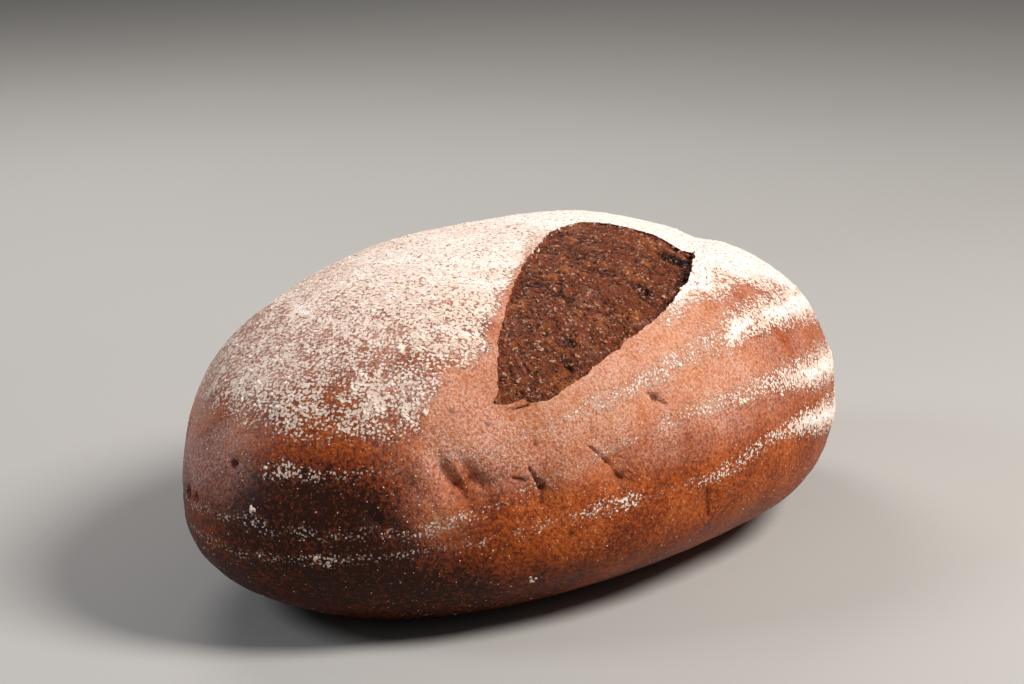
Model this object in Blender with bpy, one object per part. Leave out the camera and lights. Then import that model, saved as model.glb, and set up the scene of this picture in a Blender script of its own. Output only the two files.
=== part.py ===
"""Rye bread loaf: one solid, a long oval loaf whose score has burst open along its crown.

Metres, +Z up. +X runs along the loaf, the flat underside lies on Z = 0, and the origin is
under the middle of the loaf.
"""

import math

import bmesh
import bpy
from mathutils import Vector, noise

# The loaf as a whole
LENGTH = 0.260
HALF_WIDTH = 0.0833
CROWN_LEVEL = 0.103
TIP_LEVEL = 0.0395
WIDER_END = 0.05
LEAN = 0.065

# How far the underside has settled flat, and how softly it rounds up from the foot
SETTLED = 0.0025
FOOT_ROUND = 0.0020

# How the plan, the crown, the keel and the cross-section round off
PLAN_ROOT = 1.85
CROWN_POWER = 2.6
KEEL_POWER = 4.0
WAIST_SHARE = 0.40
SHOULDER_POWER = 2.4
BELLY_POWER = 2.2

# The score, from its near tip to its far tip in plan, and how far it has opened to each side
SCORE_NEAR = Vector((-0.073, -0.0565))
SCORE_FAR = Vector((0.051, -0.027))
LEFT_OPENING = 0.041
RIGHT_OPENING = 0.0172
TIP_OPENING = 0.0012
LEFT_FROM = 0.015
RIGHT_FROM = 0.070
FIRST_WIDTH_AT = 0.040
FULL_AT = 0.75
BLUNT_AT = 0.965
BLUNT_POWER = 30.0
RIGHT_START = 0.070
PARTING_POWER = 0.70
CLOSING_POWER = 0.85

# The torn floor of the score, and the lips that stand up beside it
TIP_DEPTH = 0.0012
FLOOR_DEPTH = 0.0018
RIGHT_STEP = 0.0045
OVERHANG = 0.0022
LEFT_SLOPE = 0.0015
RIDGE_HEIGHT = 0.0013
RIDGE_LENGTH = 0.011
LIP_RISE = 0.0020
LIP_WIDTH = 0.009
LIP_CLEARANCE = 0.0015
AIR_ABOVE = 0.02
VALLEY_DEPTH = 0.0020
VALLEY_WIDTH = 0.011

# The creases that run on beyond both tips of the score: start, end and depth
CREASES = (
    (SCORE_NEAR, Vector((-0.091, -0.054)), 0.0012),
    (SCORE_FAR, Vector((0.090, -0.002)), 0.0030),
)
CREASE_WIDTH = 0.0065

# Hollows in the crust, and one swelling behind the left lip: centre, radius and depth
HOLLOWS = (
    (Vector((0.046, 0.023, 0.096)), 0.0300, -0.0009),
    (Vector((0.066, 0.000, 0.091)), 0.0150, 0.0024),
    (Vector((-0.050, 0.050, 0.086)), 0.0220, 0.0016),
    (Vector((-0.092, -0.050, 0.053)), 0.0065, 0.0022),
    (Vector((-0.086, -0.056, 0.050)), 0.0060, 0.0016),
    (Vector((-0.070, -0.065, 0.046)), 0.0070, 0.0024),
    (Vector((-0.045, -0.075, 0.049)), 0.0065, 0.0022),
    (Vector((-0.098, -0.051, 0.030)), 0.0130, 0.0020),
    (Vector((-0.025, -0.073, 0.066)), 0.0060, 0.0012),
    (Vector((-0.010, -0.082, 0.031)), 0.0060, 0.0012),
)
UNEVENNESS = 0.0009
UNEVEN_LENGTH = 0.040

# Mesh densities
AROUND = 88
ALONG = 46
SCORE_STEPS = 40
SCORE_ROWS = 12

CRUST_COLOUR = (0.30, 0.115, 0.045, 1.0)


def rounded(share, power, root):
    """Falls from 1 at the middle to 0 at the rim."""
    return max(0.0, 1.0 - abs(share) ** power) ** (1.0 / root)


def signed_power(value, exponent):
    return math.copysign(abs(value) ** exponent, value)


def ease(value):
    """A smooth step from 0 to 1."""
    value = min(1.0, max(0.0, value))
    return value * value * (3.0 - 2.0 * value)


def pressed(level):
    """Height after the underside has settled flat on the baking surface."""
    above = level - SETTLED
    if above <= 0.0:
        return 0.0
    if above < 2.0 * FOOT_ROUND:
        return above * above / (4.0 * FOOT_ROUND)
    return above - FOOT_ROUND


def section(s):
    """Half width, crown, keel and waist levels at s, which runs from -1 to 1 along the loaf."""
    half_width = HALF_WIDTH * rounded(s, 2.0, PLAN_ROOT) * (1.0 + WIDER_END * s)
    crown = TIP_LEVEL + (CROWN_LEVEL - TIP_LEVEL) * rounded(s, CROWN_POWER, 2.0)
    keel = TIP_LEVEL * (1.0 - rounded(s, KEEL_POWER, 2.0))
    waist = keel + (crown - keel) * WAIST_SHARE
    return half_width, crown, keel, waist


def crust_point(s, turn):
    """The smooth crust at s along the loaf, turned about its length from +Y towards +Z."""
    half_width, crown, keel, waist = section(s)
    across = math.cos(turn)
    up = math.sin(turn)
    if up >= 0.0:
        exponent = 2.0 / SHOULDER_POWER
        reach = crown - waist
    else:
        exponent = 2.0 / BELLY_POWER
        reach = waist - keel
    rise = reach * signed_power(up, exponent)
    y = half_width * signed_power(across, exponent) + LEAN * rise
    return Vector((s * LENGTH / 2.0, y, pressed(waist + rise)))


def crown_height(x, y):
    """Height of the smooth crown above a point of the plan."""
    half_width, crown, _, waist = section(2.0 * x / LENGTH)
    rise = crown - waist
    for _ in range(4):
        share = min(1.0, abs(y - LEAN * rise) / half_width)
        rise = (crown - waist) * rounded(share, SHOULDER_POWER, SHOULDER_POWER)
    return pressed(waist + rise)


def score_axes():
    """Length of the score and the unit vectors along it and to its left."""
    chord = SCORE_FAR - SCORE_NEAR
    along = chord.normalized()
    return chord.length, along, Vector((-along.y, along.x))


def score_place(x, y):
    """Share of the way along the score, and the distance to the left of its chord."""
    length, along, left = score_axes()
    offset = Vector((x, y)) - SCORE_NEAR
    return offset.dot(along) / length, offset.dot(left)


def left_opening(t):
    """How far the left lip stands from the chord: it widens to a full width and ends bluntly."""
    t = min(1.0, max(0.0, t))
    widening = min(max(t, FIRST_WIDTH_AT), FULL_AT) ** 0.7
    return LEFT_OPENING * widening * rounded(t / BLUNT_AT, BLUNT_POWER, 3.0)


def right_opening(t):
    """How far the right lip stands from the chord: it parts faster than it closes."""
    share = min(1.0, max(0.0, (t - RIGHT_START) / (1.0 - RIGHT_START)))
    power = PARTING_POWER if share < 0.5 else CLOSING_POWER
    return RIGHT_OPENING * math.sin(math.pi * share) ** power


def tear_depth(t, w):
    """Depth of the torn floor below the crown: w runs from 0 at the left lip to 1 at the right."""
    open_share = math.sin(math.pi * min(1.0, max(0.0, t)) ** 1.4) ** 0.6
    middle = FLOOR_DEPTH * ease(w / 0.7)
    right = RIGHT_STEP * ease((w - 0.60) / 0.40)
    return open_share * (middle + right) + TIP_DEPTH


def tear_ridges(x, y):
    """Folds that run across the torn floor."""
    return RIDGE_HEIGHT * noise.noise(Vector((x / RIDGE_LENGTH, y / (2.0 * RIDGE_LENGTH), 0.3)))


def bump(distance, width):
    return math.exp(-((distance / width) ** 2))


def lip_relief(x, y):
    """The raised right lip, and the valley beside the left lip where the crust has stretched."""
    t, offset = score_place(x, y)
    lip_run = ease(t / 0.3) * ease((1.0 - t) / 0.2)
    lip = LIP_RISE * lip_run * bump(offset + right_opening(t), LIP_WIDTH)
    valley_run = ease((t + 0.1) / 0.2) * ease((0.75 - t) / 0.4)
    valley = VALLEY_DEPTH * valley_run * bump(offset - left_opening(t), VALLEY_WIDTH)
    return lip - valley


def crease_relief(x, y, start, end, depth):
    """A crease from start, where it is deepest, that has all but faded out at end."""
    run = end - start
    offset = Vector((x, y)) - start
    share = min(1.0, max(0.0, offset.dot(run) / run.length_squared))
    distance = (offset - run * share).length
    return -depth * (1.0 - 0.6 * share) * bump(distance, CREASE_WIDTH)


def crust_relief(point):
    """How far the crust stands out from the smooth form."""
    above = ease((point.z - 0.045) / 0.02)
    relief = above * lip_relief(point.x, point.y)
    for start, end, depth in CREASES:
        relief += above * crease_relief(point.x, point.y, start, end, depth)
    for centre, radius, depth in HOLLOWS:
        relief -= depth * bump((point - centre).length, radius)
    lift = ease(point.z / 0.02)
    return relief + lift * UNEVENNESS * noise.noise(point / UNEVEN_LENGTH)


def crust_height(x, y):
    """Height of the uneven crust above a point of the plan, near the crown."""
    crown = crown_height(x, y)
    return crown + crust_relief(Vector((x, y, crown)))


def tear_point(t, w, layer):
    """A point of the score's cutter: layer 0 is the torn floor, 1 the lips and 2 open air."""
    length, along, left = score_axes()
    spread = math.sin(math.pi * t)
    left_edge = left_opening(t) + TIP_OPENING
    right_edge = right_opening(t) + TIP_OPENING
    if layer == 0:
        left_edge -= LEFT_SLOPE * spread
        right_edge += OVERHANG * spread
    offset = left_edge * (1.0 - w) - right_edge * w
    plan = SCORE_NEAR + along * (t * length) + left * offset
    if layer == 0:
        height = crust_height(plan.x, plan.y) - tear_depth(t, w)
        height += tear_ridges(plan.x, plan.y) * spread
    elif layer == 1:
        height = crust_height(plan.x, plan.y) + LIP_CLEARANCE
    else:
        height = CROWN_LEVEL + AIR_ABOVE
    return Vector((plan.x, plan.y, height))


def link(mesh_object, collection_name):
    collection = bpy.data.collections.get(collection_name)
    if collection is None:
        collection = bpy.data.collections.new(collection_name)
        bpy.context.scene.collection.children.link(collection)
    collection.objects.link(mesh_object)


def crust_material():
    material = bpy.data.materials.new("rye_crust")
    material.use_nodes = True
    shader = material.node_tree.nodes["Principled BSDF"]
    shader.inputs["Base Color"].default_value = CRUST_COLOUR
    shader.inputs["Roughness"].default_value = 0.75
    shader.inputs["Metallic"].default_value = 0.0
    return material


def loaf_body():
    """A sphere with its poles at the loaf's tips, drawn out to the loaf's form."""
    bm = bmesh.new()
    bmesh.ops.create_uvsphere(bm, u_segments=AROUND, v_segments=ALONG, radius=1.0)
    for vert in bm.verts:
        turn = math.atan2(vert.co.y, vert.co.x)
        vert.co = crust_point(max(-1.0, min(1.0, vert.co.z)), turn)
    bm.normal_update()
    raised = [vert.co + vert.normal * crust_relief(vert.co) for vert in bm.verts]
    for vert, place in zip(bm.verts, raised):
        vert.co = place
        vert.co.z = max(0.0, vert.co.z)
    bmesh.ops.recalc_face_normals(bm, faces=bm.faces)
    mesh = bpy.data.meshes.new("rye_loaf")
    bm.to_mesh(mesh)
    bm.free()
    return bpy.data.objects.new("rye_loaf", mesh)


def raised_copy(bm, faces, level):
    """Extrudes the faces to the level, walls included, and returns the new upper faces."""
    made = bmesh.ops.extrude_face_region(bm, geom=faces, use_keep_orig=True)["geom"]
    for item in made:
        if isinstance(item, bmesh.types.BMVert):
            item.co.z = level
    return [item for item in made if isinstance(item, bmesh.types.BMFace)]


def score_cutter():
    """A closed lens that takes the score out of the crown, down to the torn floor."""
    bm = bmesh.new()
    bmesh.ops.create_grid(bm, x_segments=SCORE_STEPS, y_segments=SCORE_ROWS, size=1.0)
    lips = raised_copy(bm, bm.faces[:], 1.0)
    raised_copy(bm, lips, 2.0)
    bmesh.ops.delete(bm, geom=lips, context="FACES")
    for vert in bm.verts:
        share = (1.0 + math.sin(vert.co.x * math.pi / 2.0)) / 2.0
        w = (1.0 - vert.co.y) / 2.0
        start = LEFT_FROM + (RIGHT_FROM - LEFT_FROM) * w
        t = start + (1.0 - start) * share
        vert.co = tear_point(t, w, round(vert.co.z))
    bmesh.ops.recalc_face_normals(bm, faces=bm.faces)
    mesh = bpy.data.meshes.new("score_cutter")
    bm.to_mesh(mesh)
    bm.free()
    return bpy.data.objects.new("score_cutter", mesh)


def cut_score(loaf, cutter):
    cut = loaf.modifiers.new("score", "BOOLEAN")
    cut.operation = "DIFFERENCE"
    cut.object = cutter
    cutter.hide_render = True
    cutter.display_type = "WIRE"


def build_loaf():
    for old in list(bpy.data.objects):
        bpy.data.objects.remove(old)
    loaf = loaf_body()
    loaf.data.materials.append(crust_material())
    loaf.data.shade_smooth()
    loaf.data.set_sharp_from_angle(angle=math.radians(40.0))
    link(loaf, "rye_bread_loaf")
    cutter = score_cutter()
    link(cutter, "cutters")
    cut_score(loaf, cutter)


build_loaf()
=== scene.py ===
"""Dressed rye bread loaf: floured crust, torn score, flour clumps, grains and crumbs.

Metres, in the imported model's frame: +X runs along the loaf and Z = 0 is what it rests on.
"""

import math
from collections import namedtuple

import bmesh
import bpy
import numpy as np
from mathutils import Matrix, Vector, noise
from mathutils.bvhtree import BVHTree

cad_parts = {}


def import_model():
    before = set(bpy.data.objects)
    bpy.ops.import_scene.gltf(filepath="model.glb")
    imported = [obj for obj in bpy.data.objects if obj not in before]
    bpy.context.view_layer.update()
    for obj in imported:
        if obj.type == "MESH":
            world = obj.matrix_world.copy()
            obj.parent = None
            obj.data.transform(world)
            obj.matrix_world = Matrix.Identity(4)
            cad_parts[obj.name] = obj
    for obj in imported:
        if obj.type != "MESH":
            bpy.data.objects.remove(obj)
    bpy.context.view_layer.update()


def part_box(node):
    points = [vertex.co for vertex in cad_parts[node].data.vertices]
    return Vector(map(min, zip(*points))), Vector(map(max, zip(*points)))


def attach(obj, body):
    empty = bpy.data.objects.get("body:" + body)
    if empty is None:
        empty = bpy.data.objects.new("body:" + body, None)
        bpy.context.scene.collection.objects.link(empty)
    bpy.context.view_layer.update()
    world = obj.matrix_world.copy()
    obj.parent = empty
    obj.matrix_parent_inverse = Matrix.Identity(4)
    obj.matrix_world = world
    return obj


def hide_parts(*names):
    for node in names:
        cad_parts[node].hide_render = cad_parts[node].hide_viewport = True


# The loaf's form, as the solid has it
LENGTH = 0.260
HALF_WIDTH = 0.0833
CROWN_LEVEL = 0.103
TIP_LEVEL = 0.0395
WIDER_END = 0.05
LEAN = 0.065
SETTLED = 0.0025
FOOT_ROUND = 0.0020
PLAN_ROOT = 1.85
CROWN_POWER = 2.6
KEEL_POWER = 4.0
WAIST_SHARE = 0.40
SHOULDER_POWER = 2.4
BELLY_POWER = 2.2

# The score, and the torn floor inside it
SCORE_NEAR = np.array((-0.073, -0.0565))
SCORE_FAR = np.array((0.051, -0.027))
LEFT_OPENING = 0.041
RIGHT_OPENING = 0.0172
TIP_OPENING = 0.0012
LEFT_FROM = 0.015
RIGHT_FROM = 0.070
FIRST_WIDTH_AT = 0.040
FULL_AT = 0.75
BLUNT_AT = 0.965
BLUNT_POWER = 30.0
RIGHT_START = 0.070
PARTING_POWER = 0.48
CLOSING_POWER = 0.85
TIP_DEPTH = 0.0006
FLOOR_DEPTH = 0.0020
RIGHT_STEP = 0.0045
RIDGE_HEIGHT = 0.0013
RIDGE_LENGTH = 0.011
LIP_RISE = 0.0020
LIP_WIDTH = 0.009
VALLEY_DEPTH = 0.0020
VALLEY_WIDTH = 0.011

# Creases beyond both tips of the score: start, end and depth
CREASES = (
    (SCORE_NEAR, np.array((-0.091, -0.054)), 0.0012),
    (SCORE_FAR, np.array((0.090, -0.002)), 0.0030),
)
CREASE_WIDTH = 0.0065

# Hollows in the crust, and one swelling behind the left lip: centre, radius and depth
HOLLOWS = (
    ((0.046, 0.023, 0.096), 0.0300, -0.0009),
    ((0.066, 0.000, 0.091), 0.0150, 0.0024),
    ((-0.050, 0.050, 0.086), 0.0220, 0.0016),
    ((-0.092, -0.050, 0.053), 0.0065, 0.0022),
    ((-0.086, -0.056, 0.050), 0.0060, 0.0016),
    ((-0.070, -0.065, 0.046), 0.0070, 0.0024),
    ((-0.045, -0.075, 0.049), 0.0065, 0.0022),
    ((-0.098, -0.051, 0.030), 0.0130, 0.0020),
    ((-0.025, -0.073, 0.066), 0.0060, 0.0012),
    ((-0.010, -0.082, 0.031), 0.0060, 0.0012),
)
RUMPLED = np.array((-0.088, -0.055, 0.045))
UNEVENNESS = 0.0009
UNEVEN_LENGTH = 0.040

# Small holes and pits in the crust: centre, radius and depth
PITS = (
    ((-0.1240, 0.0015, 0.0540), 0.0012, 0.0024),
    ((-0.1230, 0.0225, 0.0403), 0.0016, 0.0022),
    ((-0.1258, 0.0163, 0.0409), 0.0014, 0.0022),
    ((-0.0230, -0.0715, 0.0652), 0.0012, 0.0013),
    ((-0.0767, -0.0529, 0.0657), 0.0007, 0.0003),
    ((-0.0668, -0.0624, 0.0593), 0.0008, 0.0005),
    ((-0.0495, -0.0685, 0.0607), 0.0007, 0.0003),
    ((-0.0843, -0.0464, 0.0697), 0.0007, 0.0003),
    ((-0.0425, -0.0740, 0.0460), 0.0014, 0.0010),
    ((-0.0667, -0.0644, 0.0468), 0.0012, 0.0012),
    ((-0.0609, -0.0711, 0.0322), 0.0010, 0.0005),
)
# Cracks and wrinkles: start, end, half width and depth
CRACKS = (
    ((-0.0750, -0.0612, 0.0509), (-0.0711, -0.0623, 0.0496), 0.0005, 0.0010),
    ((-0.0699, -0.0628, 0.0527), (-0.0679, -0.0637, 0.0490), 0.0005, 0.0009),
    ((-0.0679, -0.0637, 0.0490), (-0.0664, -0.0645, 0.0465), 0.0007, 0.0012),
    ((-0.0664, -0.0645, 0.0465), (-0.0676, -0.0653, 0.0421), 0.0005, 0.0009),
    ((-0.0512, -0.0700, 0.0562), (-0.0454, -0.0716, 0.0506), 0.0004, 0.0009),
    ((-0.0454, -0.0716, 0.0506), (-0.0421, -0.0743, 0.0451), 0.0006, 0.0009),
    ((-0.0251, -0.0706, 0.0667), (-0.0209, -0.0737, 0.0630), 0.0005, 0.0008),
    ((-0.0099, -0.0816, 0.0357), (-0.0073, -0.0804, 0.0258), 0.0004, 0.0005),
    ((-0.0694, -0.0540, 0.0684), (-0.0640, -0.0572, 0.0692), 0.0005, 0.0010),
)
WRINKLES = (
    ((-0.0912, -0.0468, 0.0587), (-0.0905, -0.0477, 0.0548), 0.0013, 0.0006),
    ((-0.0905, -0.0477, 0.0548), (-0.0880, -0.0505, 0.0500), 0.0018, 0.0009),
    ((-0.0880, -0.0505, 0.0500), (-0.0862, -0.0535, 0.0465), 0.0017, 0.0006),
    ((-0.0853, -0.0525, 0.0549), (-0.0842, -0.0537, 0.0516), 0.0019, 0.0006),
    ((-0.0842, -0.0537, 0.0516), (-0.0822, -0.0561, 0.0495), 0.0021, 0.0008),
    ((-0.0822, -0.0561, 0.0495), (-0.0782, -0.0590, 0.0506), 0.0018, 0.0008),
    ((-0.0885, -0.0490, 0.0575), (-0.0865, -0.0520, 0.0515), 0.0017, -0.0008),
    ((-0.0935, -0.0455, 0.0545), (-0.0915, -0.0480, 0.0490), 0.0016, -0.0008),
    ((-0.1093, -0.0396, 0.0424), (-0.1060, -0.0430, 0.0388), 0.0026, 0.0012),
    ((-0.0962, -0.0450, 0.0565), (-0.0930, -0.0505, 0.0450), 0.0032, -0.0010),
    ((-0.0880, -0.0505, 0.0500), (-0.0870, -0.0550, 0.0430), 0.0016, 0.0008),
)

# The crust lies this far inside the solid, so that the flour on it reaches the solid's surface
FLOUR_ROOM = 0.0005

# Rings left by the proving basket. Each starts level at the left end, climbs to its peak and falls
# away over the right end; one sags before its peak. Flour is whole from full on.
Ring = namedtuple("Ring", "level rise start peak fall sag full width")
RINGS = (
    Ring(0.0545, 0.0215, -0.110, 0.035, 0.0900, 0.0, -0.006, 0.0034),
    Ring(0.0383, 0.0217, -0.100, 0.000, 0.1184, 0.0, 0.020, 0.0034),
    Ring(0.0300, 0.0130, -0.120, 0.030, 0.0620, 0.0033, 0.024, 0.0032),
)
SAG_AT = -0.012
SAG_WIDTH = 0.024
RING_RIDGE = 0.0004
DOME_EDGE = 0.0625
CAP_GAP = 0.0088
# Where a ring kept more flour, and where the crown lost some: centre, radius and share
RING_PATCHES = (
    ((-0.0437, -0.0765, 0.0385), 0.0090, 0.55),
    ((-0.1215, -0.0130, 0.0545), 0.0080, 0.30),
    ((-0.1275, -0.0080, 0.0420), 0.0045, 0.45),
    ((-0.1180, -0.0290, 0.0298), 0.0060, 0.28),
    ((-0.0960, -0.0500, 0.0400), 0.0100, 0.14),
)
BARE_PATCHES = (
    ((-0.0747, -0.0092, 0.0897), 0.0055, 0.30),
    ((-0.0819, -0.0220, 0.0845), 0.0080, 0.18),
    ((-0.0884, -0.0301, 0.0784), 0.0055, 0.18),
    ((-0.1030, -0.0223, 0.0728), 0.0050, 0.16),
    ((-0.0931, -0.0005, 0.0829), 0.0045, 0.16),
    ((-0.0982, -0.0353, 0.0683), 0.0055, 0.42),
)
# Where the crust stayed pale and dusty among darker crust: centre, radius and share
PALE_PATCHES = (
    ((-0.0960, -0.0500, 0.0420), 0.0085, 0.50),
)

# Mesh densities
AROUND = 190
ALONG = 150
FLOOR_SPACING = 0.00033
TUCK = 0.0024

SEED = 7


# ---------------------------------------------------------------- the loaf's form


def rounded(share, power, root):
    return np.clip(1.0 - np.abs(share) ** power, 0.0, None) ** (1.0 / root)


def signed_power(value, exponent):
    return np.sign(value) * np.abs(value) ** exponent


def ease(value):
    value = np.clip(value, 0.0, 1.0)
    return value * value * (3.0 - 2.0 * value)


def bump(distance, width):
    return np.exp(-((distance / width) ** 2))


def grain(points, length, octaves=1):
    """Gradient noise of about -1 to 1 with features of the given length."""
    total = np.zeros(len(points))
    for octave in range(octaves):
        places = (points * (2.0**octave / length)).tolist()
        total += np.array([noise.noise(place) for place in places]) / 2.0**octave
    return total


def pressed(level):
    above = level - SETTLED
    soft = above * above / (4.0 * FOOT_ROUND)
    return np.where(above <= 0.0, 0.0, np.where(above < 2.0 * FOOT_ROUND, soft, above - FOOT_ROUND))


def section(s):
    half_width = HALF_WIDTH * rounded(s, 2.0, PLAN_ROOT) * (1.0 + WIDER_END * s)
    crown = TIP_LEVEL + (CROWN_LEVEL - TIP_LEVEL) * rounded(s, CROWN_POWER, 2.0)
    keel = TIP_LEVEL * (1.0 - rounded(s, KEEL_POWER, 2.0))
    waist = keel + (crown - keel) * WAIST_SHARE
    return half_width, crown, keel, waist


def crust_point(s, turn):
    """Points of the smooth crust at s along the loaf, turned from +Y towards +Z."""
    half_width, crown, keel, waist = section(s)
    across = np.cos(turn)
    up = np.sin(turn)
    top = (crown - waist) * signed_power(up, 2.0 / SHOULDER_POWER)
    base = (waist - keel) * signed_power(up, 2.0 / BELLY_POWER)
    rise = np.where(up >= 0.0, top, base)
    exponent = np.where(up >= 0.0, 2.0 / SHOULDER_POWER, 2.0 / BELLY_POWER)
    y = half_width * signed_power(across, exponent) + LEAN * rise
    return np.stack((s * LENGTH / 2.0, y, pressed(waist + rise)), axis=-1)


def score_axes():
    chord = SCORE_FAR - SCORE_NEAR
    length = math.hypot(*chord)
    along = chord / length
    return length, along, np.array((-along[1], along[0]))


def score_place(x, y):
    """Share of the way along the score, and the distance to the left of its chord."""
    length, along, left = score_axes()
    dx = x - SCORE_NEAR[0]
    dy = y - SCORE_NEAR[1]
    return (dx * along[0] + dy * along[1]) / length, dx * left[0] + dy * left[1]


def left_opening(t):
    """How far the left lip stands from the chord: it widens to a full width and ends bluntly."""
    widening = np.clip(t, FIRST_WIDTH_AT, FULL_AT) ** 0.7
    return LEFT_OPENING * widening * rounded(np.clip(t, 0.0, 1.0) / BLUNT_AT, BLUNT_POWER, 3.0)


def right_opening(t):
    """How far the right lip stands from the chord: it parts faster than it closes."""
    share = np.clip((t - RIGHT_START) / (1.0 - RIGHT_START), 0.0, 1.0)
    power = np.where(share < 0.5, PARTING_POWER, CLOSING_POWER)
    return RIGHT_OPENING * np.sin(math.pi * share) ** power


def lip_relief(x, y):
    t, offset = score_place(x, y)
    lip_run = ease(t / 0.3) * ease((1.0 - t) / 0.2)
    lip = LIP_RISE * lip_run * bump(offset + right_opening(t), LIP_WIDTH)
    valley_run = ease((t + 0.1) / 0.2) * ease((0.75 - t) / 0.4)
    valley = VALLEY_DEPTH * valley_run * bump(offset - left_opening(t), VALLEY_WIDTH)
    return lip - valley


def crease_relief(points, start, end, depth):
    run = end - start
    offset = points[:, :2] - start
    share = np.clip(offset @ run / (run @ run), 0.0, 1.0)
    distance = np.linalg.norm(offset - share[:, None] * run, axis=1)
    return -depth * (1.0 - 0.6 * share) * bump(distance, CREASE_WIDTH)


def main_relief(points):
    """How far the crust stands out from the smooth form, as on the solid."""
    above = ease((points[:, 2] - 0.045) / 0.02)
    relief = above * lip_relief(points[:, 0], points[:, 1])
    for start, end, depth in CREASES:
        relief += above * crease_relief(points, start, end, depth)
    for centre, radius, depth in HOLLOWS:
        relief -= depth * bump(np.linalg.norm(points - centre, axis=1), radius)
    lift = ease(points[:, 2] / 0.02)
    return relief + lift * UNEVENNESS * grain(points, UNEVEN_LENGTH)


def segment_distance(points, start, end):
    start = np.array(start)
    run = np.array(end) - start
    share = np.clip((points - start) @ run / (run @ run), 0.0, 1.0)
    return np.linalg.norm(points - start - share[:, None] * run, axis=1)


def fine_relief(points):
    """Small blisters, wrinkles, cracks and pits, too fine for the solid."""
    lift = ease(points[:, 2] / 0.015)
    rumpled = 1.0 + 1.4 * bump(np.linalg.norm(points - RUMPLED, axis=1), 0.030)
    relief = lift * (0.00026 * rumpled * grain(points, 0.011) + 0.00012 * grain(points, 0.0035))
    for start, end, width, depth in WRINKLES + CRACKS:
        relief -= depth * bump(segment_distance(points, start, end), width)
    for centre, radius, depth in PITS:
        relief -= depth * bump(np.linalg.norm(points - centre, axis=1), radius)
    for ring in RINGS:
        away = points[:, 2] - ring_level(points[:, 0], ring)
        relief += RING_RIDGE * ring_strength(points, ring) * bump(away, 1.4 * ring.width)
    return relief


# ---------------------------------------------------------------- flour and bake


def ring_level(x, ring):
    """Height of a basket ring along the loaf."""
    share = np.clip((x - ring.start) / (ring.peak - ring.start), 0.0, 1.0)
    climb = np.sin(share * math.pi / 2.0) ** 1.2
    fall = np.clip((x - ring.peak) / ring.fall, 0.0, None) ** 2
    fall = fall / (1.0 + 0.25 * fall)
    return ring.level + ring.rise * (climb - fall) - ring.sag * bump(x - SAG_AT, SAG_WIDTH)


def patches_near(points, patches):
    total = np.zeros(len(points))
    for centre, radius, share in patches:
        total += share * bump(np.linalg.norm(points - centre, axis=1), radius)
    return total


def ring_strength(points, ring):
    """Rings are bold at the right end and faint and broken towards the left."""
    x = points[:, 0]
    strength = 0.15 + 0.29 * ease((x - ring.full + 0.055) / 0.030) + 0.56 * ease((x - ring.full) / 0.030)
    return np.clip(strength + patches_near(points, RING_PATCHES), 0.0, 1.0)


def strip_width(t):
    """Width of the bare strip between the left lip and the flour."""
    return 0.0010 + np.minimum(0.0110 * np.exp(-t / 0.100), 0.0110)


def beside_lip(x, y):
    """How far a place lies to the left of the left lip."""
    t, offset = score_place(x, y)
    return t, offset - left_opening(t) - TIP_OPENING


def dome_share(points):
    """1 on the floured crown left of the score, with a ragged edge."""
    x, y, z = points.T
    t, beyond = beside_lip(x, y)
    drift = 0.0022 * grain(points, 0.014, 2) + 0.0020 * grain(points + 0.5, 0.004)
    side = ease((beyond - strip_width(t) + drift) / 0.0045 + 0.4)
    level = ease((z - DOME_EDGE + drift) / 0.013 + 0.3)
    return side * level * (1.0 - ease((t - 0.95) / 0.15))


def flour_cover(points):
    """Share of the crust that flour covers, from 0 to 1."""
    x, y, z = points.T
    patchy = 0.20 * grain(points, 0.013, 2) + 0.26 * grain(points + 0.7, 0.0042, 2)
    thickness = 0.53 + 0.36 * ease((z - 0.080) / 0.018) + patchy * (1.2 - ease((z - 0.085) / 0.012))
    thickness = thickness - patches_near(points, BARE_PATCHES)
    dome = dome_share(points) * np.clip(thickness, 0.12, 1.0)
    drift = 0.0022 * grain(points, 0.016, 2) + 0.0012 * grain(points + 0.5, 0.004)
    gap = CAP_GAP * (1.0 - 0.75 * ease((x - 0.040) / 0.050))
    above_ring = z - ring_level(x, RINGS[0]) - gap + drift
    _, beyond = beside_lip(x, y)
    run = np.where(beyond > 0.0, 0.060, 0.016)
    cap = 0.97 * ease(above_ring / 0.006 + 0.5) * ease((x + 0.004) / run + 0.5)
    cover = np.maximum(dome, cap)
    for ring in RINGS:
        away = z - ring_level(x, ring) + 0.7 * drift
        strength = ring_strength(points, ring)
        broken = np.clip(0.85 + 1.1 * grain(points + 0.31, 0.010, 2), 0.25, 1.0)
        broken = broken + (1.0 - broken) * ease((x - 0.02) / 0.04)
        width = ring.width * (0.50 + 0.55 * strength + 0.45 * ease((x - 0.040) / 0.040))
        cover = np.maximum(cover, strength * broken * bump(away, width))
    return np.clip(cover * ease(z / 0.025), 0.0, 1.0)


def dust_and_painted_sheen(points):
    """Thin grey dust and painted sheen on the left end, and a little over the shoulders."""
    x, y, z = points.T
    drift = 0.005 * grain(points + 0.9, 0.010, 2)
    left_end = ease((y + 0.014 + drift) / 0.024) * ease((-0.080 - x) / 0.025) * ease((z - 0.036) / 0.016)
    shoulder = 0.86 * ease((z - 0.042) / 0.016) * ease((x + 0.110) / 0.025) * (1.0 - 0.5 * ease((x - 0.01) / 0.03))
    patchy = np.clip(1.0 + 0.9 * grain(points, 0.012, 2), 0.0, 1.4)
    pale = patches_near(points, PALE_PATCHES)
    return np.clip((left_end + shoulder + pale) * patchy, 0.0, 1.0)


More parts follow.
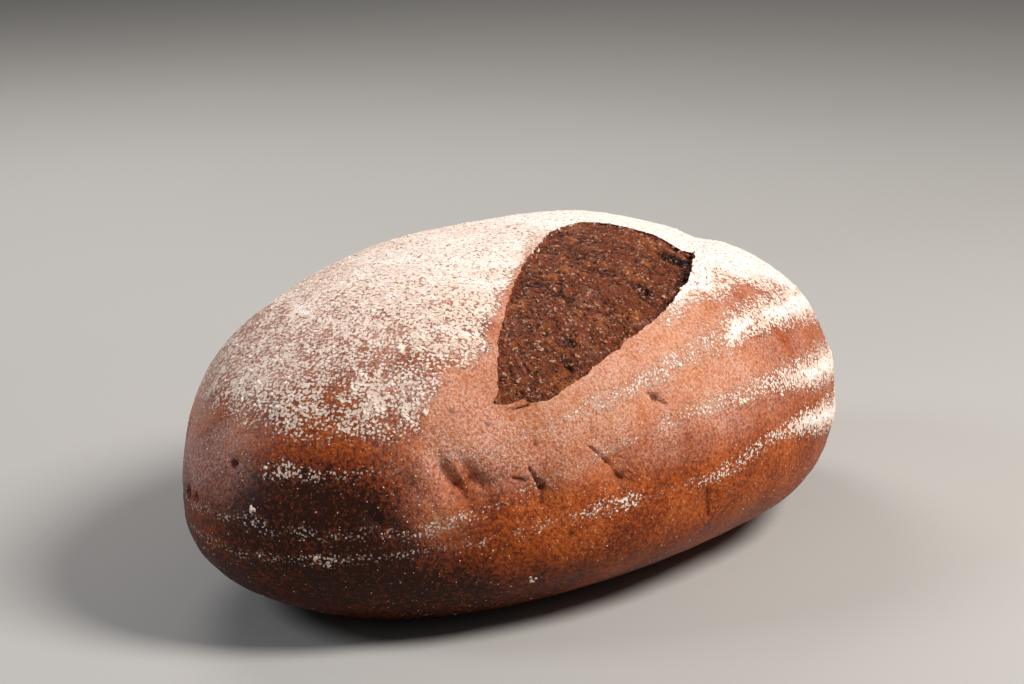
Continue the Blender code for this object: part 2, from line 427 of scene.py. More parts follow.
def tone_with_painted_light(points):
    """Crust tone: 0 at its darkest, low on the left, partly a darker bake and partly painted shade; 1 on the pale
    stretched shoulder, partly paler crust and partly painted sheen; darker towards the bottom.
    """
    x, y, z = points.T
    right_end = ease((x - 0.005) / 0.040)
    # Lighter up the shoulders, partly paler crust and partly painted sheen; darker towards the bottom.
    tone = 0.46 + (0.38 - 0.31 * right_end) * ease((z - 0.043) / 0.030) - 0.14 * ease((0.030 - z) / 0.025)
    drift = 0.005 * grain(points + 0.9, 0.010, 2)
    # Painted shade, partly a darker bake too: darkest on the low left end and low on the left towards the foot.
    dark_end = ease((-0.074 - x + drift) / 0.040) * ease((0.074 - z + 0.5 * drift) / 0.026)
    dark_end *= 1.0 - 0.50 * ease((y + 0.020 + drift) / 0.028)
    dark_foot = ease((-0.020 - x) / 0.060) * ease((0.036 - z) / 0.022)
    t, beyond = beside_lip(x, y)
    strip = bump(beyond - 0.004, 0.006) * ease((0.6 - t) / 0.3) * ease((z - 0.06) / 0.01)
    tone -= 0.50 * dark_end + 0.28 * dark_foot + 0.48 * dome_share(points) + 0.20 * strip
    tone += patches_near(points, PALE_PATCHES)
    return np.clip(tone + 0.13 * grain(points, 0.020, 2), 0.0, 1.0)


def hollow_shade(points):
    """Painted shade: 1 in the bottom of the pits and cracks, where the crust's colour darkens."""
    shade = np.zeros(len(points))
    for start, end, width, _ in CRACKS:
        shade = np.maximum(shade, bump(segment_distance(points, start, end), 0.9 * width))
    for centre, radius, _ in PITS:
        shade = np.maximum(shade, bump(np.linalg.norm(points - centre, axis=1), radius))
    return shade


# ---------------------------------------------------------------- mesh helpers


def mesh_piece(name, verts, faces, material):
    mesh = bpy.data.meshes.new(name)
    mesh.from_pydata(verts.tolist(), [], faces.tolist())
    mesh.validate()
    piece = bpy.data.objects.new(name, mesh)
    bpy.context.scene.collection.objects.link(piece)
    mesh.materials.append(material)
    return finish_piece(piece)


def finish_piece(piece):
    hold_inside(piece)
    piece.data.shade_smooth()
    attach(piece, "root")
    return piece


def coordinates(mesh):
    values = np.empty(len(mesh.vertices) * 3)
    mesh.vertices.foreach_get("co", values)
    return values.reshape(-1, 3)


def hold_inside(piece):
    """Keeps every vertex inside the solid's box."""
    low, high = (np.array(corner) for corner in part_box("rye_loaf"))
    points = np.clip(coordinates(piece.data), low, high)
    piece.data.vertices.foreach_set("co", points.ravel())
    piece.data.update()


def set_attribute(mesh, name, values):
    layer = mesh.attributes.new(name, "FLOAT", "POINT")
    layer.data.foreach_set("value", values.astype(np.float32))


# ---------------------------------------------------------------- crust


def sheet_point(flat):
    """The smooth crust's points for a flat sheet of turn and polar angle, each from -1 to 1."""
    turn = (flat[:, 0] + 0.5) * math.pi
    s = np.clip(np.sin(flat[:, 1] * math.pi / 2.0), -1.0, 1.0)
    return crust_point(s, turn)


def score_outline():
    """The lips of the score in plan, once round, slightly ragged."""
    share = (1.0 - np.cos(np.linspace(0.0, math.pi, 420))) / 2.0
    length, along, left = score_axes()
    lips = []
    for start, opening, side, rag in ((LEFT_FROM, left_opening, 1.0, 0.0007),
                                      (RIGHT_FROM, right_opening, -1.0, 0.00045)):
        t = start + (1.0 - start) * share
        width = opening(t)
        spine = SCORE_NEAR + np.outer(t * length, along)
        plain = spine + np.outer(side * (width + TIP_OPENING), left)
        seeds = np.column_stack((plain, np.full(len(t), 0.11 * side)))
        ragged = rag * (grain(seeds, 0.006, 3) + 0.8 * grain(seeds, 0.0016))
        lips.append(plain + np.outer(side * ragged * ease(width / 0.004), left))
    return np.vstack((lips[0], lips[1][::-1]))


def outline_distance(plan, outline):
    """Distance from each plan point to the outline, and the nearest point on it."""
    best = np.full(len(plan), np.inf)
    nearest = np.zeros_like(plan)
    for start, end in zip(outline, np.roll(outline, -1, axis=0)):
        run = end - start
        share = np.clip((plan - start) @ run / max(run @ run, 1e-16), 0.0, 1.0)
        place = start + share[:, None] * run
        distance = np.hypot(*(plan - place).T)
        closer = distance < best
        best[closer] = distance[closer]
        nearest[closer] = place[closer]
    return best, nearest


def inside_outline(plan, outline):
    crossings = np.zeros(len(plan), dtype=int)
    for start, end in zip(outline, np.roll(outline, -1, axis=0)):
        spans = (start[1] > plan[:, 1]) != (end[1] > plan[:, 1])
        rise = end[1] - start[1] or 1e-12
        x = start[0] + (plan[:, 1] - start[1]) / rise * (end[0] - start[0])
        crossings += spans & (plan[:, 0] < x)
    return crossings % 2 == 1


def near_features(points, reach):
    near = np.zeros(len(points), dtype=bool)
    for start, end, width, _ in WRINKLES + CRACKS:
        near |= segment_distance(points, start, end) < reach + width
    for centre, radius, _ in PITS:
        near |= np.linalg.norm(points - centre, axis=1) < reach + radius
    return near


def refine(bm, choose):
    """Splits each chosen face in four."""
    centres = np.array([face.calc_center_median()[:] for face in bm.faces])
    chosen = choose(sheet_point(centres))
    edges = {edge for face, wanted in zip(bm.faces, chosen) if wanted for edge in face.edges}
    bmesh.ops.subdivide_edges(bm, edges=list(edges), cuts=1, use_grid_fill=True, use_single_edge=True)


def near_lips(points, outline, reach):
    near = points[:, 2] > 0.055
    distance = np.full(len(points), np.inf)
    distance[near] = outline_distance(points[near, :2], outline)[0]
    return distance < reach


def crust_sheet(outline):
    """The flat sheet, finer towards the near side, the lips, the cracks and the pits."""
    bm = bmesh.new()
    bmesh.ops.create_grid(bm, x_segments=AROUND, y_segments=ALONG, size=1.0)
    refine(bm, lambda points: points @ np.array((-0.55, -1.0, 0.55)) > 0.028)
    refine(bm, lambda points: near_lips(points, outline, 0.0022) | near_features(points, 0.0045))
    refine(bm, lambda points: near_lips(points, outline, 0.0008) | near_features(points, 0.0012))
    return bm


def shaped_crust(smooth, normals):
    """Moves the smooth crust's points to the relief, just inside the solid's surface."""
    lift = ease(smooth[:, 2] / 0.006)
    shaped = smooth + normals * (main_relief(smooth) - FLOUR_ROOM * lift)[:, None]
    shaped += normals * fine_relief(shaped)[:, None]
    shaped[:, 2] = np.where(smooth[:, 2] <= 0.0, 0.0, np.maximum(shaped[:, 2], 0.0))
    return shaped


def open_score(bm, outline):
    """Takes the faces inside the outline away and draws the rim left onto the outline."""
    centres = np.array([face.calc_center_median()[:] for face in bm.faces])
    inside = np.zeros(len(centres), dtype=bool)
    upper = centres[:, 2] > 0.055
    inside[upper] = inside_outline(centres[upper, :2], outline)
    doomed = [face for face, gone in zip(bm.faces, inside) if gone]
    bmesh.ops.delete(bm, geom=doomed, context="FACES")
    bm.normal_update()
    rim = [vert for vert in bm.verts if vert.is_boundary]
    plan = np.array([vert.co[:2] for vert in rim])
    _, nearest = outline_distance(plan, outline)
    for vert, place in zip(rim, nearest):
        shift = Vector((place[0] - vert.co.x, place[1] - vert.co.y, 0.0))
        vert.co.z -= shift.dot(vert.normal) / max(vert.normal.z, 0.3)
        vert.co += shift


def lip_walls(bm):
    """Folds the rim down into the score: undercut on the right, sloping in on the left."""
    _, _, left = score_axes()
    edges = [edge for edge in bm.edges if edge.is_boundary]
    for drop, under_right, in_left in ((0.0003, 0.0001, 0.0002), (0.0009, 0.0006, 0.0004),
                                       (0.0018, 0.0010, 0.0006), (0.0030, 0.0014, 0.0008)):
        made = bmesh.ops.extrude_edge_only(bm, edges=edges)["geom"]
        edges = [item for item in made if isinstance(item, bmesh.types.BMEdge) and item.is_boundary]
        verts = [item for item in made if isinstance(item, bmesh.types.BMVert)]
        for face in (item for item in made if isinstance(item, bmesh.types.BMFace)):
            face.material_index = 1
            face.smooth = True
        for vert in verts:
            t, offset = score_place(vert.co.x, vert.co.y)
            spread = float(ease(min(t - LEFT_FROM, 1.0 - t) / 0.08))
            on_left = offset > 0.5 * (left_opening(t) - right_opening(t))
            shift = -in_left * spread if on_left else -under_right * spread
            vert.co.x += left[0] * shift
            vert.co.y += left[1] * shift
            vert.co.z -= drop * (0.35 + 0.65 * spread)


def build_crust(outline, crust, torn):
    bm = crust_sheet(outline)
    flat = np.array([vert.co[:] for vert in bm.verts])
    smooth = sheet_point(flat)
    for vert, place in zip(bm.verts, smooth):
        vert.co = place
    bmesh.ops.remove_doubles(bm, verts=bm.verts[:], dist=2e-6)
    bmesh.ops.recalc_face_normals(bm, faces=bm.faces)
    bm.normal_update()
    smooth = np.array([vert.co[:] for vert in bm.verts])
    normals = np.array([vert.normal[:] for vert in bm.verts])
    for vert, place in zip(bm.verts, shaped_crust(smooth, normals)):
        vert.co = place
    whole = BVHTree.FromBMesh(bm)
    open_score(bm, outline)
    lip_walls(bm)
    mesh = bpy.data.meshes.new("crust_shell")
    bm.to_mesh(mesh)
    bm.free()
    mesh.materials.append(crust)
    mesh.materials.append(torn)
    points = coordinates(mesh)
    set_attribute(mesh, "flour", flour_cover(points))
    set_attribute(mesh, "dust_and_sheen", dust_and_painted_sheen(points))
    set_attribute(mesh, "end", ease((-0.100 - points[:, 0]) / 0.015))
    set_attribute(mesh, "tone", tone_with_painted_light(points))
    set_attribute(mesh, "pit_shade", hollow_shade(points))
    # The lip walls hold the torn material's painted hollow shade at a middle level.
    set_attribute(mesh, "lift", np.full(len(points), 0.5))
    piece = bpy.data.objects.new("crust_shell", mesh)
    bpy.context.scene.collection.objects.link(piece)
    finish_piece(piece)
    mesh.set_sharp_from_angle(angle=math.radians(52.0))
    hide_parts("rye_loaf")
    return piece, whole


# ---------------------------------------------------------------- torn floor

TEAR_HOLES = (
    ((0.0372, -0.0316), 0.0030, 0.0060),
    ((0.0080, -0.0431), 0.0012, 0.0026),
    ((-0.0400, -0.0530), 0.0013, 0.0022),
    ((-0.0460, -0.0570), 0.0011, 0.0018),
    ((-0.0200, -0.0170), 0.0010, 0.0014),
)


def tear_depth(t, w):
    share = np.clip(t, 0.0, 1.0) ** 1.4
    open_share = np.clip(np.sin(math.pi * share), 0.0, None) ** 0.6
    middle = FLOOR_DEPTH * ease(w / 0.7)
    right = RIGHT_STEP * ease((w - 0.60) / 0.40)
    return open_share * (middle + right) + TIP_DEPTH


def level_below(plan, whole):
    """Height of the unopened crust at each plan point."""
    sky = 2.0 * CROWN_LEVEL
    down = Vector((0.0, 0.0, -1.0))
    return np.array([whole.ray_cast(Vector((x, y, sky)), down)[0].z for x, y in plan.tolist()])


def tear_height(plan, outside, whole):
    """Height of the torn floor, and how far each place stands out of its hollows, from 0 to 1, which the torn
    material turns into painted shade in the hollows and holes.
    """
    x, y = plan.T
    t, offset = score_place(x, y)
    left = left_opening(t) + TIP_OPENING
    right = right_opening(t) + TIP_OPENING
    w = np.clip((left - offset) / (left + right), 0.0, 1.0)
    spread = np.sin(math.pi * np.clip(t, 0.0, 1.0))
    flat = np.column_stack((x, 0.5 * y, np.full(len(x), 0.3 * RIDGE_LENGTH)))
    ridges = RIDGE_HEIGHT * grain(flat, RIDGE_LENGTH) * spread
    seeds = np.column_stack((x, y, np.full(len(x), 0.013)))
    clods = np.abs(grain(seeds, 0.0042)) + 0.55 * np.abs(grain(seeds + 0.2, 0.0019)) - 0.32
    crumb = 0.00030 * grain(seeds, 0.0011, 2)
    rough = 0.0014 * clods * (0.5 + 0.5 * spread) + crumb
    holes = np.zeros(len(x))
    for centre, radius, depth in TEAR_HOLES:
        holes += depth * bump(np.hypot(*(plan - centre).T), radius)
    height = level_below(plan, whole) - tear_depth(t, w) + ridges + rough - holes - 1.5 * outside
    return height, np.clip(0.50 + (rough + 0.2 * ridges) / 0.0014 - holes / 0.0015, 0.0, 1.0)


def build_torn_floor(outline, whole, torn):
    length, along, left = score_axes()
    low = np.array((-0.004, -RIGHT_OPENING - 0.004))
    high = np.array((length + 0.004, LEFT_OPENING + 0.004))
    steps = ((high - low) / FLOOR_SPACING).astype(int)
    runs = np.linspace(low[0], high[0], steps[0])
    sides = np.linspace(low[1], high[1], steps[1])
    grid = np.stack(np.meshgrid(runs, sides, indexing="ij"), axis=-1).reshape(-1, 2)
    plan = SCORE_NEAR + grid[:, :1] * along + grid[:, 1:] * left
    corner = np.arange(len(plan)).reshape(steps)
    quads = np.stack((corner[:-1, :-1], corner[1:, :-1], corner[1:, 1:], corner[:-1, 1:]), axis=-1)
    quads = quads.reshape(-1, 4)
    centres = plan[quads].mean(axis=1)
    inside = inside_outline(centres, outline)
    rough = outline[::6]
    near, _ = outline_distance(centres[~inside], rough)
    keep = inside.copy()
    keep[~inside] = near < TUCK
    quads = quads[keep]
    used, quads = np.unique(quads, return_inverse=True)
    plan = plan[used]
    outside = np.where(inside_outline(plan, outline), 0.0, outline_distance(plan, rough)[0])
    height, lift = tear_height(plan, outside, whole)
    piece = mesh_piece("torn_floor", np.column_stack((plan, height)), quads.reshape(-1, 4), torn)
    set_attribute(piece.data, "lift", lift)
    return piece


# ---------------------------------------------------------------- flour and crumbs


def triangles_of(piece):
    mesh = piece.data
    mesh.calc_loop_triangles()
    corners = np.empty(len(mesh.loop_triangles) * 3, dtype=np.int32)
    mesh.loop_triangles.foreach_get("vertices", corners)
    return coordinates(mesh)[corners.reshape(-1, 3)]


def sprinkle(triangles, density, count, rng):
    """Random points on the triangles, and the normals there, as dense as density says."""
    cross = np.cross(triangles[:, 1] - triangles[:, 0], triangles[:, 2] - triangles[:, 0])
    area = np.linalg.norm(cross, axis=1)
    weight = area * density(triangles.mean(axis=1))
    picks = rng.choice(len(triangles), size=count, p=weight / weight.sum())
    a, b = rng.random((2, count, 1))
    fold = a + b > 1.0
    a = np.where(fold, 1.0 - a, a)
    b = np.where(fold, 1.0 - b, b)
    first, second, third = triangles[picks].transpose(1, 0, 2)
    places = first + a * (second - first) + b * (third - first)
    return places, cross[picks] / np.maximum(area[picks], 1e-15)[:, None]


def lump_template(level):
    bm = bmesh.new()
    if level == 0:
        bmesh.ops.create_cone(bm, cap_ends=False, segments=4, radius1=1.0, radius2=0.0, depth=1.0)
        apex = max(bm.verts, key=lambda vert: vert.co.z)
        base = [vert for vert in bm.verts if vert is not apex]
        low = bm.verts.new((0.0, 0.0, -1.0))
        for vert in base:
            vert.co.z = 0.0
        apex.co.z = 1.0
        for edge in [edge for edge in bm.edges if edge.is_boundary]:
            bm.faces.new((edge.verts[0], edge.verts[1], low))
        bmesh.ops.recalc_face_normals(bm, faces=bm.faces)
    else:
        bmesh.ops.create_icosphere(bm, subdivisions=level, radius=1.0)
    verts = np.array([vert.co[:] for vert in bm.verts])
    bm.verts.index_update()
    faces = np.array([[vert.index for vert in face.verts] for face in bm.faces])
    bm.free()
    return verts, faces


def joined_lumps(name, places, normals, sizes, flatness, sink, level, material, rng):
    """One mesh of many small irregular lumps that sit on the surface."""
    verts, faces = lump_template(level)
    count = len(places)
    helper = np.where(np.abs(normals[:, :1]) < 0.8, (1.0, 0.0, 0.0), (0.0, 1.0, 0.0))
    across = np.cross(normals, helper)
    across /= np.linalg.norm(across, axis=1)[:, None]
    other = np.cross(normals, across)
    spin = rng.uniform(0.0, 2.0 * math.pi, (count, 1))
    first = np.cos(spin) * across + np.sin(spin) * other
    second = np.cross(normals, first)
    uneven = rng.uniform(0.62, 1.25, (count, len(verts), 1))
    stretch = rng.uniform(0.65, 1.35, (count, 1, 2))
    local = verts[None] * uneven * sizes[:, None, None]
    local = local * np.concatenate((stretch, np.full((count, 1, 1), flatness)), axis=2)
    world = local[..., :1] * first[:, None] + local[..., 1:2] * second[:, None]
    world = world + local[..., 2:] * normals[:, None]
    world = world + (places - normals * (sink * sizes)[:, None])[:, None]
    every = faces[None] + (np.arange(count) * len(verts))[:, None, None]
    return mesh_piece(name, world.reshape(-1, 3), every.reshape(-1, faces.shape[1]), material)


def clump_density(points):
    clusters = np.clip(0.5 + 1.6 * grain(points, 0.0040, 2), 0.0, 1.0)
    return flour_cover(points) ** 1.5 * clusters + 0.0003


def grain_density(points):
    x = points[:, 0]
    return flour_cover(points) + 0.045 + 0.16 * dust_and_painted_sheen(points) * (x < -0.09)


def build_flour(crust_piece, flour_material):
    rng = np.random.default_rng(SEED)
    triangles = triangles_of(crust_piece)
    places, normals = sprinkle(triangles, clump_density, 8800, rng)
    luck = rng.random(len(places))
    sizes = 0.00024 + 0.00028 * luck + 0.00055 * luck**14
    sizes *= 0.55 + 0.45 * ease(flour_cover(places) / 0.35)
    joined_lumps("flour_clumps", places, normals, sizes, 0.45, 0.10, 1, flour_material, rng)
    places, normals = sprinkle(triangles, grain_density, 24000, rng)
    sizes = rng.uniform(0.00014, 0.00034, len(places))
    joined_lumps("flour_grains", places, normals, sizes, 0.60, 0.10, 0, flour_material, rng)


def crumb_density(points):
    t, _ = score_place(points[:, 0], points[:, 1])
    return 0.6 + 0.8 * ease((0.45 - t) / 0.30)


def build_crumbs(floor_piece, crumb_material):
    rng = np.random.default_rng(SEED + 1)
    places, normals = sprinkle(triangles_of(floor_piece), crumb_density, 5200, rng)
    sizes = rng.uniform(0.00022, 0.00060, len(places))
    joined_lumps("torn_crumbs", places, normals, sizes, 0.75, 0.25, 1, crumb_material, rng)


# Clots of flour stuck to the crust: place and radius
FLAKES = (
    ((-0.0990, -0.0321, 0.0702), 0.0016),
    ((-0.0946, -0.0377, 0.0695), 0.0013),
    ((-0.0902, -0.0413, 0.0701), 0.0013),
    ((-0.0820, -0.0250, 0.0840), 0.0016),
    ((-0.0790, -0.0290, 0.0835), 0.0013),
    ((-0.0726, -0.0400, 0.0805), 0.0013),
    ((-0.1273, -0.0090, 0.0431), 0.0012),
    ((-0.0686, -0.0629, 0.0186), 0.0010),
    ((-0.0703, -0.0669, 0.0344), 0.0006),
)
CLOT = 8


def build_flakes(crust_piece, flour_material):
    rng = np.random.default_rng(SEED + 2)
    triangles = triangles_of(crust_piece)
    centres = triangles.mean(axis=1)
    cross = np.cross(triangles[:, 1] - triangles[:, 0], triangles[:, 2] - triangles[:, 0])
    radii = np.repeat([radius for _, radius in FLAKES], CLOT)
    wanted = np.repeat([place for place, _ in FLAKES], CLOT, axis=0)
    wanted = wanted + rng.normal(0.0, 0.45, (len(radii), 3)) * radii[:, None]
    nearest = [np.argmin(np.linalg.norm(centres - place, axis=1)) for place in wanted]
    normals = cross[nearest] / np.linalg.norm(cross[nearest], axis=1)[:, None]
    sizes = radii * rng.uniform(0.28, 0.55, len(radii))
    joined_lumps("flour_clots", centres[nearest], normals, sizes, 0.75, 0.0, 2, flour_material, rng)


# ---------------------------------------------------------------- materials


class Nodes:
    """Short calls for the nodes that the materials share."""

    def __init__(self, name):
        self.material = bpy.data.materials.new(name)
        self.material.use_nodes = True
        self.tree = self.material.node_tree
        self.shader = self.tree.nodes["Principled BSDF"]
        self.place = self.tree.nodes.new("ShaderNodeTexCoord").outputs["Object"]

    def feed(self, socket, value):
        if isinstance(value, bpy.types.NodeSocket):
            self.tree.links.new(value, socket)
        elif isinstance(value, tuple) and len(value) == 3:
            socket.default_value = (*value, 1.0)
        else:
            socket.default_value = value

    def noise(self, size, detail=2.0, roughness=0.5, shift=0.0):
        node = self.tree.nodes.new("ShaderNodeTexNoise")
        source = self.place
        if shift:
            moved = self.tree.nodes.new("ShaderNodeVectorMath")
            moved.inputs[1].default_value = (shift, shift, shift)
            self.tree.links.new(self.place, moved.inputs[0])
            source = moved.outputs[0]
        self.tree.links.new(source, node.inputs["Vector"])
        node.inputs["Scale"].default_value = 1.0 / size
        node.inputs["Detail"].default_value = detail
        node.inputs["Roughness"].default_value = roughness
        return node.outputs[0]

    def cells(self, size):
        node = self.tree.nodes.new("ShaderNodeTexVoronoi")
        self.tree.links.new(self.place, node.inputs["Vector"])
        node.inputs["Scale"].default_value = 1.0 / size
        return node.outputs["Distance"]

    def attribute(self, name):
        node = self.tree.nodes.new("ShaderNodeAttribute")
        node.attribute_name = name
        return node.outputs["Fac"]

    def math(self, operation, first, second=0.0, third=0.0):
        node = self.tree.nodes.new("ShaderNodeMath")
        node.operation = operation
        for socket, value in zip(node.inputs, (first, second, third)):
            self.feed(socket, value)
        return node.outputs[0]

    def step(self, value, low, high, start=0.0, end=1.0):
        node = self.tree.nodes.new("ShaderNodeMapRange")
        node.interpolation_type = "SMOOTHSTEP"
        for name, item in zip(("Value", "From Min", "From Max", "To Min", "To Max"),
                              (value, low, high, start, end)):
            self.feed(node.inputs[name], item)
        return node.outputs["Result"]

    def mix(self, share, first, second, blend="MIX"):
        node = self.tree.nodes.new("ShaderNodeMix")
        node.data_type = "RGBA"
        node.blend_type = blend
        self.feed(node.inputs[0], share)
        self.feed(node.inputs[6], first)
        self.feed(node.inputs[7], second)
        return node.outputs[2]

    def bump(self, height, distance, strength=1.0, under=None):
        node = self.tree.nodes.new("ShaderNodeBump")
        node.inputs["Strength"].default_value = strength
        node.inputs["Distance"].default_value = distance
        self.feed(node.inputs["Height"], height)
        if under is not None:
            self.feed(node.inputs["Normal"], under)
        return node.outputs["Normal"]

    def finish(self, colour, roughness, normal, specular=0.4):
        self.feed(self.shader.inputs["Base Color"], colour)
        self.feed(self.shader.inputs["Roughness"], roughness)
        self.feed(self.shader.inputs["Normal"], normal)
        self.shader.inputs["Specular IOR Level"].default_value = specular
        return self.material


def crust_look():
    """Baked crust, brown by its tone with painted shade and painted sheen in it, pored and speckled with pale dots
    and painted glints, hazed with dust and painted sheen, with painted shade in its pits and cracks, under a broken
    film of flour.
    """
    n = Nodes("rye_crust_floured")
    broad = n.noise(0.020, 3.0, 0.6)
    fine = n.noise(0.0013, 4.0, 0.62, 0.7)
    tone = n.math("ADD", n.attribute("tone"), n.step(broad, 0.3, 0.7, -0.08, 0.08))
    tone = n.math("ADD", tone, n.step(fine, 0.32, 0.68, -0.20, 0.20))
    # The brown follows the tone, so it carries the painted shade low on the left and the painted sheen on the
    # shoulders.
    brown = n.mix(n.step(tone, 0.0, 0.32), (0.030, 0.007, 0.003), (0.190, 0.032, 0.007))
    brown = n.mix(n.step(tone, 0.28, 0.58), brown, (0.370, 0.072, 0.008))
    brown = n.mix(n.step(tone, 0.52, 0.85), brown, (0.470, 0.140, 0.036))
    brown = n.mix(n.step(tone, 0.80, 1.10), brown, (0.610, 0.270, 0.140))
    # Pale dots on the crust: partly real pale specks, partly painted glints, stronger where the tone is lighter.
    kept = n.step(n.noise(0.0024, 2.0, 0.5, 1.9), 0.46, 0.58)
    pale_dots_and_glints = n.math("MULTIPLY", n.step(n.cells(0.0010), 0.16, 0.34, 1.0, 0.0), kept)
    pale_dots_and_glints = n.math("MULTIPLY", pale_dots_and_glints, n.step(tone, 0.15, 0.75, 0.35, 0.80))
    brown = n.mix(pale_dots_and_glints, brown, n.mix(n.step(tone, 0.4, 0.9), (0.52, 0.20, 0.045), (0.84, 0.53, 0.34)))
    # Dust and painted sheen: a grey to mauve haze over the left end and the shoulders.
    dust_and_sheen = n.attribute("dust_and_sheen")
    haze = n.math("MULTIPLY", dust_and_sheen, n.step(n.noise(0.0008, 3.0, 0.7, 2.7), 0.38, 0.64, 0.10, 0.78))
    brown = n.mix(haze, brown, n.mix(n.step(n.attribute("end"), 0.2, 0.8), (0.70, 0.43, 0.35), (0.50, 0.345, 0.315)))
    # Painted shade in the pits and cracks.
    brown = n.mix(n.math("MULTIPLY", n.attribute("pit_shade"), 0.75), brown, (0.030, 0.008, 0.004))
    cover = n.attribute("flour")
    ragged = n.math("MULTIPLY", n.math("SUBTRACT", n.noise(0.0007, 3.0, 0.65, 4.1), 0.5), 1.5)
    reach = n.math("ADD", n.math("MULTIPLY_ADD", cover, 0.64, 0.24), ragged)
    film = n.step(n.math("SUBTRACT", reach, n.cells(0.0011)), -0.05, 0.08)
    film = n.math("MULTIPLY", film, n.step(cover, 0.03, 0.20))
    pale = n.mix(n.step(n.noise(0.0030, 3.0, 0.6, 5.2), 0.35, 0.66), (0.70, 0.525, 0.43), (0.84, 0.705, 0.62))
    pale = n.mix(n.step(cover, 0.80, 0.98), pale, (0.88, 0.81, 0.77))
    colour = n.mix(film, brown, pale)
    roughness = n.mix(film, n.step(fine, 0.35, 0.65, 0.36, 0.52), (0.92, 0.92, 0.92))
    relief = n.math("ADD", n.math("MULTIPLY", film, 1.3), n.math("MULTIPLY", fine, 1.0))
    relief = n.math("ADD", relief, n.math("MULTIPLY", n.noise(0.0006, 2.0, 0.6, 7.7), 0.55))
    skin = n.bump(n.noise(0.0032, 3.0, 0.6, 6.1), 0.0008, 0.5)
    return n.finish(colour, roughness, n.bump(relief, 0.00055, 0.90, skin), 0.15)


def torn_look():
    """Torn crumb: dark reddish brown and coarse, with amber patches, painted shade in its hollows and pale painted
    highlights on its raised facets.
    """
    n = Nodes("rye_crust_torn")
    lift = n.attribute("lift")
    fine = n.noise(0.0010, 3.0, 0.65, 0.4)
    height = n.math("ADD", n.math("MULTIPLY", lift, 0.75), n.math("MULTIPLY", fine, 0.50))
    # Painted shade: near black in the hollows and holes, dark reddish brown on the raised crumb.
    colour = n.mix(n.step(height, 0.30, 0.75), (0.018, 0.004, 0.001), (0.150, 0.030, 0.008))
    amber = n.step(n.noise(0.0085, 2.0, 0.5, 8.3), 0.48, 0.66, 0.0, 0.75)
    colour = n.mix(n.math("MULTIPLY", amber, n.step(height, 0.40, 0.80)), colour, (0.330, 0.090, 0.016))
    mauve = n.step(n.noise(0.0060, 2.0, 0.5, 1.4), 0.54, 0.68, 0.0, 0.45)
    colour = n.mix(n.math("MULTIPLY", mauve, n.step(height, 0.40, 0.80)), colour, (0.240, 0.105, 0.080))
    # Painted highlights: pale glints on the raised facets.
    painted_glints = n.step(n.noise(0.0013, 2.0, 0.6, 3.7), 0.595, 0.67, 0.0, 0.85)
    painted_glints = n.math("MULTIPLY", painted_glints, n.step(height, 0.42, 0.72))
    colour = n.mix(painted_glints, colour, (0.52, 0.31, 0.23))
    roughness = n.step(fine, 0.35, 0.65, 0.55, 0.30)
    relief = n.math("ADD", fine, n.math("MULTIPLY", n.cells(0.0013), 0.7))
    return n.finish(colour, roughness, n.bump(relief, 0.0007, 0.9), 0.13)


def crumb_look():
    """Crumbs in the torn score: dark to sandy brown, a few pale, partly as painted glints."""
    n = Nodes("torn_crumbs")
    fine = n.noise(0.0012, 2.0, 0.6, 2.2)
    colour = n.mix(n.step(fine, 0.38, 0.60), (0.035, 0.008, 0.003), (0.260, 0.072, 0.020))
    # A few pale crumbs, partly pale crumb and partly painted glints.
    pale = n.step(n.noise(0.0022, 1.0, 0.5, 9.1), 0.60, 0.66, 0.0, 0.85)
    colour = n.mix(pale, colour, (0.52, 0.32, 0.23))
    return n.finish(colour, 0.42, n.bump(n.noise(0.0004), 0.0001, 0.6), 0.25)


def flour_look():
    """Rye flour: warm off-white, a little browner in places, quite matt."""
    n = Nodes("rye_flour")
    patches = n.noise(0.0030, 3.0, 0.6, 1.2)
    fine = n.noise(0.0006, 2.0, 0.6)
    colour = n.mix(n.step(patches, 0.35, 0.66), (0.78, 0.60, 0.48), (0.90, 0.77, 0.68))
    colour = n.mix(n.step(fine, 0.60, 0.78, 0.0, 0.35), colour, (0.52, 0.32, 0.20))
    return n.finish(colour, 0.94, n.bump(fine, 0.0001, 0.5), 0.2)


def floor_look():
    n = Nodes("studio_floor")
    cloud = n.noise(0.5, 2.0, 0.5)
    colour = n.mix(n.step(cloud, 0.3, 0.7), (0.40, 0.392, 0.38), (0.42, 0.412, 0.40))
    return n.finish(colour, 0.8, n.bump(n.noise(0.004), 0.0001, 0.2), 0.1)


# ---------------------------------------------------------------- studio


def build_floor():
    bm = bmesh.new()
    bmesh.ops.create_circle(bm, cap_ends=True, segments=96, radius=4.0)
    mesh = bpy.data.meshes.new("studio_floor")
    bm.to_mesh(mesh)
    bm.free()
    mesh.materials.append(floor_look())
    floor = bpy.data.objects.new("studio_floor", mesh)
    bpy.context.scene.collection.objects.link(floor)


def aimed(place, target):
    """A matrix at place that looks at target."""
    place = Vector(place)
    turn = (Vector(target) - place).to_track_quat("-Z", "Y")
    return Matrix.Translation(place) @ turn.to_matrix().to_4x4()


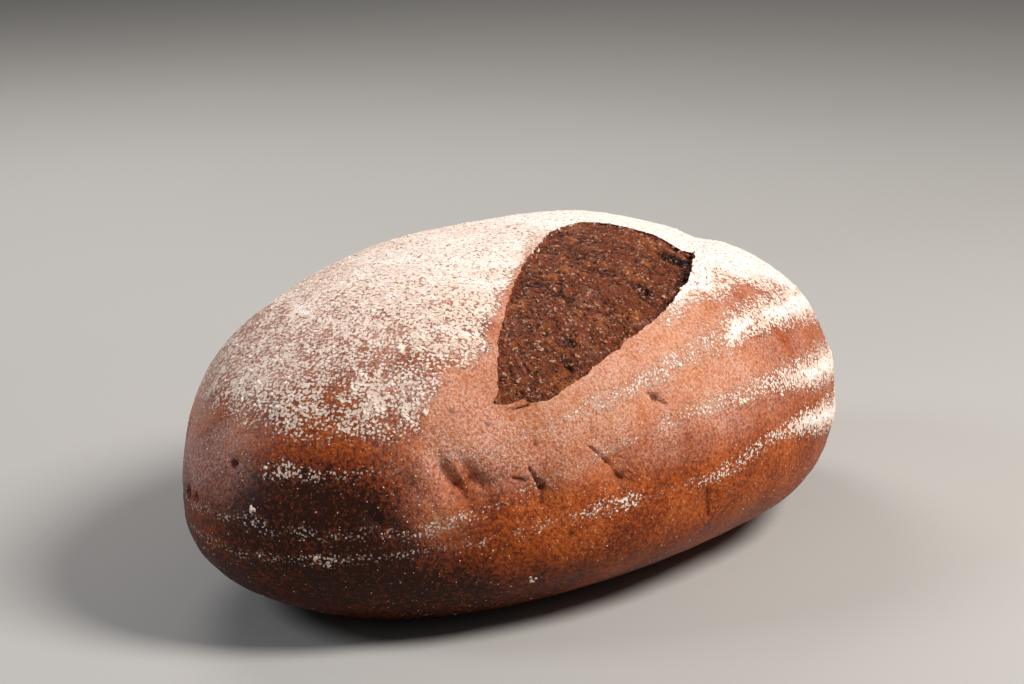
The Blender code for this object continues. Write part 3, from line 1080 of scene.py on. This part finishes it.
def soft_light(name, place, target, size, power, colour):
    light = bpy.data.lights.new(name, "AREA")
    light.shape = "DISK"
    light.size = size
    light.energy = power
    light.color = colour
    lamp = bpy.data.objects.new(name, light)
    lamp.matrix_world = aimed(place, target)
    bpy.context.scene.collection.objects.link(lamp)


def build_studio():
    scene = bpy.context.scene
    scene.view_settings.view_transform = "Standard"
    world = bpy.data.worlds.new("studio")
    world.use_nodes = True
    world.node_tree.nodes["Background"].inputs["Color"].default_value = (0.60, 0.59, 0.58, 1.0)
    world.node_tree.nodes["Background"].inputs["Strength"].default_value = 0.17
    scene.world = world
    middle = (0.0, 0.0, 0.05)
    soft_light("key", (0.36, -0.80, 0.98), middle, 0.50, 22.5, (1.0, 0.95, 0.89))
    soft_light("back", (0.30, 0.70, 0.70), middle, 0.50, 4.0, (1.0, 0.96, 0.93))
    soft_light("left", (-0.75, 0.60, 0.65), middle, 0.40, 4.2, (0.90, 0.93, 1.0))


CAMERA_AZIMUTH = -48.957
CAMERA_ELEVATION = 15.516
CAMERA_DISTANCE = 0.8021
CAMERA_LENS = 87.41


def build_camera():
    turn = math.radians(CAMERA_AZIMUTH)
    tilt = math.radians(CAMERA_ELEVATION)
    back = Vector((math.sin(turn) * math.cos(tilt), -math.cos(turn) * math.cos(tilt), math.sin(tilt)))
    right = Vector((math.cos(turn), math.sin(turn), 0.0))
    target = Vector((0.0, 0.0, 0.045)) - 0.0034 * right + 0.0185 * back.cross(right)
    data = bpy.data.cameras.new("camera")
    data.lens = CAMERA_LENS
    data.sensor_width = 36.0
    camera = bpy.data.objects.new("camera", data)
    camera.matrix_world = aimed(target + back * CAMERA_DISTANCE, target)
    bpy.context.scene.collection.objects.link(camera)
    bpy.context.scene.camera = camera


def plain(bounds):
    return [[float(value) for value in corner] for corner in bounds]


def main():
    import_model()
    build_camera()
    build_studio()
    build_floor()
    outline = score_outline()
    torn = torn_look()
    flour_material = flour_look()
    crust_piece, whole = build_crust(outline, crust_look(), torn)
    floor_piece = build_torn_floor(outline, whole, torn)
    build_flour(crust_piece, flour_material)
    build_crumbs(floor_piece, crumb_look())
    build_flakes(crust_piece, flour_material)


main()
